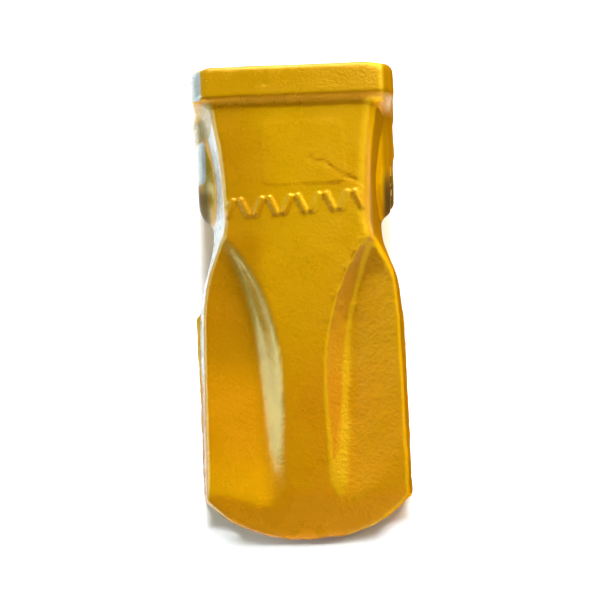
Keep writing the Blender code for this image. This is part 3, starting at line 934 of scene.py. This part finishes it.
def left_painted_reflection(n, facing, across, along):
    """Painted reflection of bright light on the left side: seen at a glance, and on the collar's left
    corner.
    """
    sideways, endways, upward = facing
    reflection_mask = n.times(n.span(sideways, -0.5, -0.85), n.span(n.glance(), 0.66, 0.82))
    reflection_mask = n.times(reflection_mask, n.span(along, 0.22, 0.18, 0.3, 1.0))
    # The painted reflection also covers the collar's left corner.
    left_corner = n.times(n.span(across, -0.0615, -0.0645), n.span(along, 0.076, 0.064))
    left_corner = n.times(left_corner, n.span(upward, 0.12, 0.3), n.span(sideways, -0.15, -0.4))
    near_side = n.span(endways, 0.45, 0.25)
    reflection_mask = n.times(n.larger(reflection_mask, left_corner), near_side, n.rest_of(collar_corner_shade(n, across, along)))
    speckled = n.plus(reflection_mask, n.times(n.noise(500.0, 2.0), 0.5))
    return n.span(speckled, 0.55, 0.85, 0.0, 0.85)


def crease_shade_and_worn_edges(n, colour):
    """Painted shade in the creases, and edges rubbed through to the iron."""
    point = n.pointiness()
    # Painted shade in the creases.
    colour = n.mix(n.span(point, 0.47, 0.40, 0.0, 0.5), colour, DEEP_ORANGE)
    rubbed = n.times(n.span(point, 0.56, 0.62), n.span(n.noise(150.0, 4.0), 0.60, 0.68))
    return n.mix(rubbed, colour, BARE_IRON)


def orange_peel(n, sideways, ear_shade, across, along):
    """The enamel's roughness and relief, both coarser on the right of the blade."""
    right = n.span(across, -0.01, 0.03)
    grain = n.noise(900.0, 3.0)
    roughness = n.plus(n.span(n.noise(45.0, 3.0), 0.3, 0.7, 0.16, 0.28), n.times(right, 0.1))
    roughness = n.plus(roughness, n.times(grain, 0.1))
    dull = n.larger(n.span(sideways, 0.5, 0.9, 0.0, 0.4), n.times(ear_shade, 0.6))
    coarse = n.times(right, n.span(along, 0.09, 0.15, 0.35, 1.0))
    peel = n.times(n.noise(420.0, 2.0), n.plus(n.times(coarse, 0.6), 0.4))
    relief = n.bump(grain, 0.0003, 0.3, n.bump(peel, 0.0014, 0.45))
    return n.plus(roughness, dull, clamp=True), relief


def yellow_paint(name, specular):
    """Glossy enamel on the left and upper surfaces, duller on the right and at the ears' lower ends,
    where shade is painted.
    """
    n = Nodes(name)
    place = n.axis(RIGHTWARD, MOUTH_CENTRE), n.axis(-MOUTHWARD, MOUTH_CENTRE)
    across, along = place
    facing = n.facing()
    sideways, endways, _ = facing
    ear_shade = ear_end_shade(n, *place)
    # The enamel gets painted light and shade by which way each surface faces.
    colour = painted_light_and_shade(n, enamel_colour_with_painted_light(n, *place), facing, *place)
    # Painted reflection on the left side, seen at a glance.
    colour = n.mix(left_painted_reflection(n, facing, *place), colour, PAINTED_REFLECTION_WHITE)
    # Painted shade at the ears' lower ends.
    colour = crease_shade_and_worn_edges(n, n.mix(ear_shade, colour, EAR_END_SHADE))
    roughness, relief = orange_peel(n, sideways, ear_shade, *place)

    outer_left = n.times(n.span(across, -0.048, -0.055), n.span(sideways, -0.5, -0.75, 0.0, 0.8))
    collar_step = n.times(n.span(endways, -0.34, -0.5), n.span(along, 0.06, 0.04))
    gloss = n.span(sideways, -0.3, 0.1, 1.0, 0.0)
    for dulled in (ear_shade, outer_left, collar_step, collar_corner_shade(n, *place)):
        gloss = n.times(gloss, n.rest_of(dulled))
    n.join(gloss, n.shader.inputs["Coat Weight"])
    n.join(0.22, n.shader.inputs["Coat Roughness"])
    n.join(specular, n.shader.inputs["Specular IOR Level"])
    flake = n.larger(n.span(sideways, 0.2, 0.7, 0.2, 0.0), n.times(collar_step, 0.4))
    return n.finish(colour, roughness, relief, flake)


def socket_skin():
    """Raw sand-cast iron with rust, and yellow overspray that fades with depth."""
    n = Nodes("raw cast socket")
    across = n.size_of(n.axis(RIGHTWARD, MOUTH_CENTRE))
    along = n.axis(-MOUTHWARD, MOUTH_CENTRE)
    mottle = n.noise(90.0, 5.0, 0.6)
    iron = n.mix(n.span(mottle, 0.35, 0.65), RAW_IRON, PALE_IRON)
    iron = n.mix(n.span(n.noise(38.0, 5.0, 0.65), 0.56, 0.7), iron, SOCKET_RUST)
    uneven = n.times(n.math("SUBTRACT", n.noise(70.0, 4.0, 0.6), 0.5), 0.04)
    from_mouth = n.span(n.plus(along, uneven), 0.034, 0.003)
    from_side = n.span(n.plus(across, uneven), 0.060, 0.068)
    speckle = n.span(n.noise(420.0, 3.0), 0.45, 0.6, 0.55, 1.0)
    sprayed = n.times(n.larger(from_mouth, from_side), speckle)
    colour = n.mix(sprayed, iron, LEMON_YELLOW)
    roughness = n.span(mottle, 0.3, 0.7, 0.6, 0.85)
    sand = n.plus(n.noise(520.0, 4.0, 0.65), n.times(n.noise(140.0, 2.0), 0.8))
    metallic = n.times(n.rest_of(sprayed), 0.5)
    return n.finish(colour, roughness, n.bump(sand, 0.0009, 0.8), metallic)


def oiled_steel():
    """Dark heat-treated bar: turning lines, rubbed bright bands, a little rust."""
    n = Nodes("oiled pin steel")
    lines = n.noise(1.0, 2.0, 0.5, n.stretched((5200.0, 30.0, 30.0)))
    cloud = n.noise(55.0, 4.0, 0.6)
    point = n.pointiness()
    colour = n.mix(n.span(cloud, 0.35, 0.65), OILED_STEEL, DRY_STEEL)
    colour = n.mix(n.times(n.span(lines, 0.45, 0.7), 0.35), colour, RUBBED_STEEL)
    colour = n.mix(n.span(point, 0.53, 0.60), colour, BRIGHT_EDGE)
    rust = n.times(n.span(n.noise(120.0, 5.0, 0.7), 0.58, 0.66), 0.8)
    colour = n.mix(rust, colour, PIN_RUST)
    roughness = n.plus(n.span(cloud, 0.3, 0.7, 0.26, 0.42), n.times(rust, 0.35))
    metallic = n.rest_of(n.times(rust, 0.8))
    normal = n.bump(n.noise(260.0, 4.0), 0.0002, 0.6, n.bump(lines, 0.00008, 0.7))
    return n.finish(colour, roughness, normal, metallic)


def pressed_steel(name):
    """Satin plated steel with fine scratches, darker in the cloudy places."""
    n = Nodes(name)
    scratches = n.noise(1.0, 3.0, 0.6, n.stretched((260.0, 2400.0, 900.0)))
    cloud = n.noise(140.0, 4.0, 0.6)
    point = n.pointiness()
    colour = n.mix(n.span(cloud, 0.35, 0.65), DULL_PLATING, PLATING)
    colour = n.mix(n.span(point, 0.52, 0.60), colour, PLATED_EDGE)
    rust = n.times(n.span(n.noise(210.0, 4.0, 0.7), 0.6, 0.68), 0.6)
    colour = n.mix(rust, colour, PLATING_RUST)
    roughness = n.plus(n.span(cloud, 0.3, 0.7, 0.28, 0.42), n.times(scratches, 0.12))
    return n.finish(colour, roughness, n.bump(scratches, 0.0001, 0.6), 0.95)


def moulded_rubber():
    """Matt black rubber with a grey bloom and a fine moulded grain."""
    n = Nodes("moulded rubber")
    bloom = n.span(n.noise(160.0, 4.0, 0.6), 0.45, 0.7)
    colour = n.mix(bloom, BLACK_RUBBER, RUBBER_BLOOM)
    grain = n.noise(1400.0, 3.0)
    return n.finish(colour, n.span(grain, 0.3, 0.7, 0.68, 0.86), n.bump(grain, 0.0002, 0.6))


# ---------------------------------------------------------------------------------------------
# Studio
# ---------------------------------------------------------------------------------------------
FLOOR_HALF = 12.0

# Beams: half widths of the strip that they leave dark for the tooth, and where its corners start
BEAM_SIDE, BEAM_END = 0.0725, 0.1645
BEAM_CORNER = (0.052, 0.152)
BEAM_FAR = 2.4
BEAM_HEIGHT = 0.9
BEAM_DENSITY = 4.0
BEAM_SPREAD = 1.0
COOL_WHITE = (0.95, 0.97, 1.0)
HORIZON_STRENGTH, HORIZON_TOP = 0.3, 0.7

# Name, place, what it points at, size, power and colour
LIGHTS = (
    ("left_window", (-1.5, -0.25, 0.8), (0, 0, 0.05), (0.65, 1.5), 13.0, (0.78, 0.97, 0.95)),
    ("key", (0.4, 1.3, 1.4), (0, 0.02, 0.05), (1.6, 1.0), 62.0, (1.0, 0.97, 0.92)),
    ("front_fill", (0.5, -1.5, 0.65), (0, -0.1, 0.03), (1.0, 0.5), 4.0, (1.0, 0.98, 0.94)),
    ("right_panel", (1.1, 0.1, 1.15), (0, 0, 0.05), (0.3, 0.5), 4.0, (1.0, 0.92, 0.7)),
)

CAMERA_ELEVATION = 68.0
CAMERA_AZIMUTH = -1.0
CAMERA_ROLL = -1.4
CAMERA_DISTANCE = 1.3
CAMERA_ANGLE = 18.2
AIM_OFFSET = (-0.0002, -0.0077, 0.0)


def add_floor():
    """A pale matt floor that is wider than any view."""
    corners = [(-FLOOR_HALF, -FLOOR_HALF, 0), (FLOOR_HALF, -FLOOR_HALF, 0),
               (FLOOR_HALF, FLOOR_HALF, 0), (-FLOOR_HALF, FLOOR_HALF, 0)]
    mesh = mesh_of("floor", corners, [(0, 1, 2, 3)])
    n = Nodes("pale floor")
    tone = n.mix(n.noise(6.0, 2.0), FLOOR_PALE, FLOOR_WHITE)
    mesh.materials.append(n.finish(tone, 0.8, n.bump(n.noise(60.0), 0.0002)))
    floor = add_object("floor", mesh)


def add_world():
    """Soft surroundings, brighter at the horizon than overhead."""
    world = bpy.context.scene.world or bpy.data.worlds.new("world")
    bpy.context.scene.world = world
    world.use_nodes = True
    nodes, links = world.node_tree.nodes, world.node_tree.links
    height = nodes.new("ShaderNodeSeparateXYZ")
    strength = nodes.new("ShaderNodeMapRange")
    strength.inputs["From Max"].default_value = HORIZON_TOP
    strength.inputs["To Min"].default_value = HORIZON_STRENGTH
    strength.inputs["To Max"].default_value = 0.0
    links.new(nodes.new("ShaderNodeTexCoord").outputs["Generated"], height.inputs[0])
    links.new(height.outputs["Z"], strength.inputs["Value"])
    links.new(strength.outputs["Result"], nodes["Background"].inputs["Strength"])
    nodes["Background"].inputs["Color"].default_value = (*COOL_WHITE, 1)


def add_light(name, place, aim, size, power, colour, spread=180.0):
    """A rectangular area light; its spread is in degrees."""
    lamp = bpy.data.lights.new(name, "AREA")
    lamp.shape = "RECTANGLE"
    lamp.size, lamp.size_y = size
    lamp.energy = power
    lamp.color = colour
    lamp.spread = math.radians(spread)
    light = add_object(name, lamp)
    light.location = place
    light.rotation_euler = (Vector(aim) - Vector(place)).to_track_quat("-Z", "Y").to_euler()


def add_floor_beams():
    """Lights straight down that pass beside the tooth and keep the floor round it white."""
    corner_x, corner_y = BEAM_CORNER
    beams = (
        ("left_beam", (-BEAM_FAR, -BEAM_FAR), (-BEAM_SIDE, BEAM_FAR)),
        ("right_beam", (BEAM_SIDE, -BEAM_FAR), (BEAM_FAR, BEAM_FAR)),
        ("front_beam", (-BEAM_SIDE, -BEAM_FAR), (BEAM_SIDE, -BEAM_END)),
        ("back_beam", (-BEAM_SIDE, BEAM_END), (BEAM_SIDE, BEAM_FAR)),
        ("left_corner_beam", (-BEAM_SIDE, -BEAM_END), (-corner_x, -corner_y)),
        ("right_corner_beam", (corner_x, -BEAM_END), (BEAM_SIDE, -corner_y)),
    )
    for name, low, high in beams:
        width, depth = high[0] - low[0], high[1] - low[1]
        x, y = (low[0] + high[0]) / 2, (low[1] + high[1]) / 2
        power = BEAM_DENSITY * width * depth
        add_light(name, (x, y, BEAM_HEIGHT), (x, y, 0.0), (width, depth), power, COOL_WHITE, BEAM_SPREAD)


def add_camera():
    """From steeply above the tip's end, a little rolled, at the middle of the CAD's box."""
    camera = add_object("camera", bpy.data.cameras.new("camera"))
    bpy.context.scene.camera = camera
    elevation, azimuth = math.radians(CAMERA_ELEVATION), math.radians(CAMERA_AZIMUTH)
    back = Vector((math.sin(azimuth) * math.cos(elevation), -math.cos(azimuth) * math.cos(elevation),
                   math.sin(elevation)))
    turn = (-back).to_track_quat("-Z", "Y").to_matrix()
    turn = turn @ Matrix.Rotation(math.radians(CAMERA_ROLL), 3, "Z")
    low, high = (Vector(corner) for corner in CAD_BOUNDS)
    centre = (low + high) / 2 + turn @ Vector(AIM_OFFSET)
    camera.location = centre + back * CAMERA_DISTANCE
    camera.rotation_euler = turn.to_euler()
    camera.data.angle = math.radians(CAMERA_ANGLE)
    camera.data.clip_end = 20.0


def main():
    """The whole scene: studio, casting, pin and retainer."""
    bpy.context.scene.view_settings.view_transform = "Standard"
    add_world()
    add_camera()
    add_floor()
    add_floor_beams()
    for light in LIGHTS:
        add_light(*light)
    make_casting()
    make_pin()
    make_retainer()


main()
